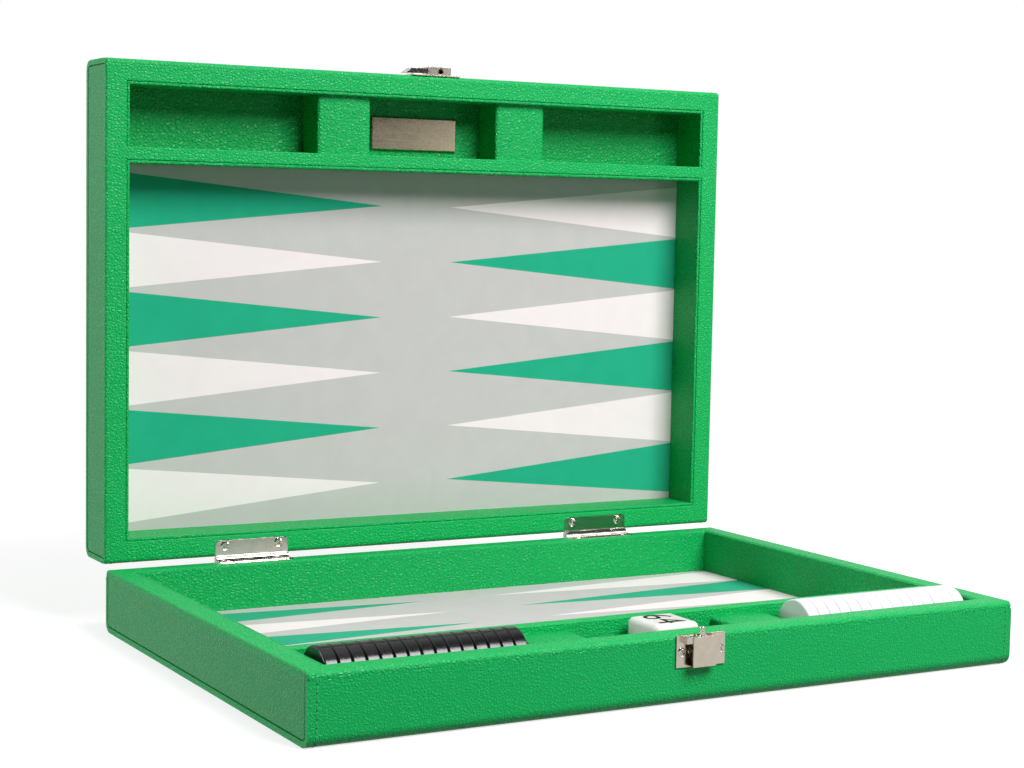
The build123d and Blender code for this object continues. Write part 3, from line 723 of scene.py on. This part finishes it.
def brush_lines():
    """Fine straight scratches along one direction, and a slow smear of handling."""
    stretch = {"Stretch": (90.0, 9000.0, 9000.0)}
    tree, given, result = shader_group("Brush lines", stretch, ("Scratch", "Smear"))
    place = object_place(tree)
    drawn = vector_maths(tree, "MULTIPLY", place, given.outputs["Stretch"])
    lines = noise(tree, drawn, 1.0, Detail=2.0, Roughness=0.6)
    tree.links.new(lines.outputs["Fac"], result.inputs["Scratch"])
    smear = noise(tree, place, 220.0, Detail=3.0, Distortion=0.4)
    tree.links.new(smear.outputs["Fac"], result.inputs["Smear"])
    return tree


BRUSHED = brush_lines()


def metal_finish(name, colour, dullest, brightest, stretch, depth):
    """Plated metal. Scratches and handling smears vary its gloss."""
    material, tree, shader = blank_material(name)
    lines = node(tree, "ShaderNodeGroup", node_tree=BRUSHED)
    lines.inputs["Stretch"].default_value = stretch
    shader.inputs["Metallic"].default_value = 1.0
    toned = tuple(0.82 * part for part in colour)
    tree.links.new(blended(tree, lines.outputs["Smear"], colour, toned), shader.inputs["Base Color"])
    scratched = maths(tree, "MULTIPLY", lines.outputs["Scratch"], 0.6)
    mixed = maths(tree, "ADD", scratched, maths(tree, "MULTIPLY", lines.outputs["Smear"], 0.4))
    tree.links.new(ranged(tree, mixed, 0.3, 0.7, brightest, dullest), shader.inputs["Roughness"])
    bumped(tree, shader, 0.5, depth, lines.outputs["Scratch"])
    return material


POLISHED_NICKEL = metal_finish(
    "polished_nickel",
    (0.74, 0.7, 0.63),
    dullest=0.15,
    brightest=0.08,
    stretch=(300, 300, 300),
    depth=0.000001,
)


def merged_copy(name):
    """A CAD piece's shape with its loose corners joined."""
    shape = bmesh.new()
    shape.from_mesh(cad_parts[name].data)
    bmesh.ops.remove_doubles(shape, verts=shape.verts, dist=0.000002)
    return shape


def eased(name, body, finish, ease):
    """A copy of a metal piece with its sharp edges rubbed down, which stands for the plain one."""
    shape = merged_copy(name)
    flat, square = math.radians(3), math.radians(50)
    bmesh.ops.dissolve_limit(shape, angle_limit=flat, verts=shape.verts, edges=shape.edges)
    sharp = [e for e in shape.edges if len(e.link_faces) == 2 and e.calc_face_angle() > square]
    bmesh.ops.bevel(
        shape, geom=sharp, offset=ease, segments=2, profile=0.5, affect="EDGES", clamp_overlap=True
    )
    mesh = finished_mesh(name + "_eased", shape)
    mesh.materials.clear()
    mesh.materials.append(finish)
    piece = place_piece(name + "_eased", mesh, body, smooth_below=50, flats=True)
    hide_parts(name)


for side in ("left", "right"):
    for half in HALF_PLACES:
        eased(f"{side}_hinge_{half}_leaf", half, POLISHED_NICKEL, 0.00012)
for half in HALF_PLACES:
    eased(half + "_hinge_screws", half, POLISHED_NICKEL, 0.00006)
dress(POLISHED_NICKEL, "hinge_pins")

# ---------------------------------------------------------------------------------------------
# Lower catch. A nickel plate is screwed to the front under the rim. It carries a folded cover, a
# block with a round-headed stud standing in it, and a hollow rivet beside the block.
# ---------------------------------------------------------------------------------------------
SATIN_NICKEL = metal_finish(
    "satin_nickel",
    (0.76, 0.68, 0.56),
    dullest=0.26,
    brightest=0.16,
    stretch=(60, 2400, 2400),
    depth=0.000003,
)
eased("catch_plate", "base", SATIN_NICKEL, 0.00012)
eased("catch_cover", "base", SATIN_NICKEL, 0.00018)
eased("catch_block", "base", POLISHED_NICKEL, 0.00015)
eased("catch_rivet", "base", POLISHED_NICKEL, 0.00008)
eased("catch_screws", "base", POLISHED_NICKEL, 0.00006)
dress(POLISHED_NICKEL, "catch_stud")

# ---------------------------------------------------------------------------------------------
# Upper catch. A keeper box on its own plate has a round hole for the stud. A slider with a thumb
# tab carries the fork that grips the stud's neck, and a coil spring in the box returns it. The
# slide presses the coil shorter. The coil here is a copy with its own mesh, standing still on the lid.
# ---------------------------------------------------------------------------------------------
eased("keeper_plate", "lid", SATIN_NICKEL, 0.00012)
eased("keeper_box", "lid", SATIN_NICKEL, 0.00015)
eased("catch_slider", "catch_slider", POLISHED_NICKEL, 0.00015)
eased("keeper_screws", "lid", POLISHED_NICKEL, 0.00006)
SPRING_STEEL = metal_finish(
    "spring_wire",
    (0.6, 0.6, 0.6),
    dullest=0.3,
    brightest=0.18,
    stretch=(3000, 3000, 3000),
    depth=0.000004,
)
coil_mesh = finished_mesh("catch_spring_coil", merged_copy("catch_spring"))
coil_mesh.materials.clear()
coil_mesh.materials.append(SPRING_STEEL)
spring = place_piece("catch_spring_coil", coil_mesh, "lid")
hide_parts("catch_spring")
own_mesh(spring)

# ---------------------------------------------------------------------------------------------
# Plaque. A plain bevelled plate of brushed nickel is glued to the floor of the lid's middle
# compartment. It is left blank.
# ---------------------------------------------------------------------------------------------
# Its base colour is far darker than nickel: painted shade for the dark surroundings that the plate
# mirrors.
PLAQUE_NICKEL = metal_finish(
    "brushed_plaque_painted_dark",
    (0.36, 0.31, 0.22),
    dullest=0.32,
    brightest=0.2,
    stretch=(50, 3000, 5000),
    depth=0.000006,
)
eased("lid_plaque", "lid", PLAQUE_NICKEL, 0.00015)

# ---------------------------------------------------------------------------------------------
# Checkers. Fifteen black and fifteen white discs of cast resin, with rounded rims, stand on edge
# in the two outer compartments.
# ---------------------------------------------------------------------------------------------


def resin_finish(name, colour, dark, gloss):
    """Cast resin, polished, with a faint swirl in it and a little handling on its gloss."""
    material, tree, shader = blank_material(name)
    place = object_place(tree)
    swirl = noise(tree, place, 90.0, Detail=3.0, Distortion=1.2)
    tree.links.new(blended(tree, swirl.outputs["Fac"], colour, dark), shader.inputs["Base Color"])
    film = noise(tree, place, 700.0, Detail=2.0)
    handled = ranged(tree, film.outputs["Fac"], 0.3, 0.7, gloss, gloss + 0.08)
    tree.links.new(handled, shader.inputs["Roughness"])
    bumped(tree, shader, 0.3, 0.00001, film.outputs["Fac"])
    return material


JET, DEEP_JET = (0.008, 0.008, 0.008), (0.004, 0.004, 0.004)
BLACK_RESIN = resin_finish("black_resin_polished", JET, dark=DEEP_JET, gloss=0.16)
WHITE_RESIN = resin_finish("white_resin_polished", (0.8, 0.79, 0.82), dark=(0.77, 0.76, 0.79), gloss=0.2)
dress(BLACK_RESIN, "black_checkers")
dress(WHITE_RESIN, "white_checkers")

# ---------------------------------------------------------------------------------------------
# Doubling cube. A white resin cube with well rounded edges. A numeral is cut in each face and
# filled with black ink, and sixty-four lies on top.
# ---------------------------------------------------------------------------------------------
IVORY_RESIN = resin_finish("ivory_resin_polished", (0.82, 0.8, 0.77), dark=(0.79, 0.77, 0.73), gloss=0.2)
dress(IVORY_RESIN, "doubling_cube")
INK_PROUD = 0.00006
NUMERAL_HEIGHT = 0.0155


def ink_finish():
    """Matt black ink in the cut numerals."""
    material, tree, shader = blank_material("black_ink")
    grit = noise(tree, object_place(tree), 2500.0, Detail=2.0).outputs["Fac"]
    black = blended(tree, grit, (0.004, 0.004, 0.004), (0.014, 0.014, 0.014))
    tree.links.new(black, shader.inputs["Base Color"])
    tree.links.new(ranged(tree, grit, 0.3, 0.7, 0.8, 0.95), shader.inputs["Roughness"])
    shader.inputs["Specular IOR Level"].default_value = 0.15
    return material


BLACK_INK = ink_finish()


def numeral(text, height):
    """A numeral as a thin plate about the origin, facing +Z, as tall as asked."""
    curve = bpy.data.curves.new("numeral", "FONT")
    curve.body = text
    curve.resolution_u = 4
    curve.extrude = 0.01
    holder = bpy.data.objects.new("numeral", curve)
    bpy.context.scene.collection.objects.link(holder)
    depsgraph = bpy.context.evaluated_depsgraph_get()
    mesh = bpy.data.meshes.new_from_object(holder.evaluated_get(depsgraph))
    bpy.data.objects.remove(holder)
    xs = [v.co.x for v in mesh.vertices]
    ys = [v.co.y for v in mesh.vertices]
    middle = Vector(((min(xs) + max(xs)) / 2, (min(ys) + max(ys)) / 2, 0))
    size = height / (max(ys) - min(ys))
    for v in mesh.vertices:
        v.co = (v.co - middle) * size
        v.co.z = INK_PROUD if v.co.z > 0 else -2 * INK_PROUD
    return mesh


cube_low, cube_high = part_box("doubling_cube")
cube_middle = (cube_low + cube_high) / 2
cube_half = (cube_high[2] - cube_low[2]) / 2
# For each face: the number, the direction it reads in, and the direction of its top.
CUBE_FACES = (
    ("64", (0, -1, 0), (1, 0, 0)),
    ("2", (0, 1, 0), (1, 0, 0)),
    ("8", (1, 0, 0), (0, 0, 1)),
    ("32", (-1, 0, 0), (0, 0, 1)),
    ("16", (0, 1, 0), (0, 0, 1)),
    ("4", (0, -1, 0), (0, 0, 1)),
)
inked = bmesh.new()
for text, reading, top in CUBE_FACES:
    outward = Vector(reading).cross(Vector(top))
    turn = Matrix((reading, top, outward)).transposed().to_4x4()
    figure = numeral(text, NUMERAL_HEIGHT)
    figure.transform(Matrix.Translation(cube_middle + outward * cube_half) @ turn)
    inked.from_mesh(figure)
numerals = finished_mesh("cube_numerals", inked)
numerals.materials.clear()
numerals.materials.append(BLACK_INK)
place_piece("cube_numerals", numerals, "doubling_cube")

# ---------------------------------------------------------------------------------------------
# Dice. Two white and two black dice of the same resin lie beside the cube. Their pips are small
# round inlays of the other colour, and opposite faces add up to seven.
# ---------------------------------------------------------------------------------------------
dress(WHITE_RESIN, "white_dice")
dress(BLACK_RESIN, "black_dice")
PIP_RADIUS = 0.00115
PIP_STEP = 0.0032
PIP_PROUD = 0.00008
PIP_SIDES = 16
# Each ring of a pip: its share of the radius, and its height in shares of PIP_PROUD.
PIP_RINGS = ((1.0, -1.5), (1.0, 0.2), (0.8, 0.85))
PIP_PLACES = {
    1: ((0, 0),),
    2: ((-1, -1), (1, 1)),
    3: ((-1, -1), (0, 0), (1, 1)),
    4: ((-1, -1), (-1, 1), (1, -1), (1, 1)),
    5: ((-1, -1), (-1, 1), (1, -1), (1, 1), (0, 0)),
    6: ((-1, -1), (-1, 0), (-1, 1), (1, -1), (1, 0), (1, 1)),
}


def pip_inlays(low, high, values):
    """The pips of one die. values are for +X, +Y and +Z."""
    middle = (Vector(low) + Vector(high)) / 2
    half = (high[2] - low[2]) / 2
    turns = [2 * math.pi * k / PIP_SIDES for k in range(PIP_SIDES)]
    shape = bmesh.new()
    axes = (Vector((1, 0, 0)), Vector((0, 1, 0)), Vector((0, 0, 1)))
    for axis, value in enumerate(values):
        for sign, count in ((1, value), (-1, 7 - value)):
            out, side = axes[axis] * sign, axes[(axis + 1) % 3]
            top = out.cross(side)
            for u, v in PIP_PLACES[count]:
                centre = middle + out * half + (side * u + top * v) * PIP_STEP
                rings = []
                for radius, rise in PIP_RINGS:
                    ring = []
                    for turn in turns:
                        spot = (side * math.cos(turn) + top * math.sin(turn)) * PIP_RADIUS * radius
                        ring.append(shape.verts.new(centre + spot + out * PIP_PROUD * rise))
                    rings.append(ring)
                for lower, upper in zip(rings, rings[1:]):
                    for k in range(PIP_SIDES):
                        n = (k + 1) % PIP_SIDES
                        shape.faces.new((lower[k], lower[n], upper[n], upper[k]))
                shape.faces.new(rings[-1])
                shape.faces.new(list(reversed(rings[0])))
    bmesh.ops.recalc_face_normals(shape, faces=shape.faces)
    return finished_mesh("pips", shape)


# For each pair of dice: its CAD piece, the pips' finish and slot, and the values of both dice.
for pair, finish, slot, shows in (
    ("white_dice", BLACK_INK, "black_resin", ((1, 2, 3), (5, 4, 6))),
    ("black_dice", WHITE_RESIN, "white_resin", ((3, 6, 5), (2, 1, 4))),
):
    low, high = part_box(pair)
    die = high[2] - low[2]
    together = bmesh.new()
    for values, near in zip(shows, (low[1], high[1] - die)):
        together.from_mesh(pip_inlays((low[0], near, low[2]), (high[0], near + die, high[2]), values))
    pips = finished_mesh(pair + "_pips", together)
    pips.materials.append(finish)
    place_piece(pair + "_pips", pips, pair)
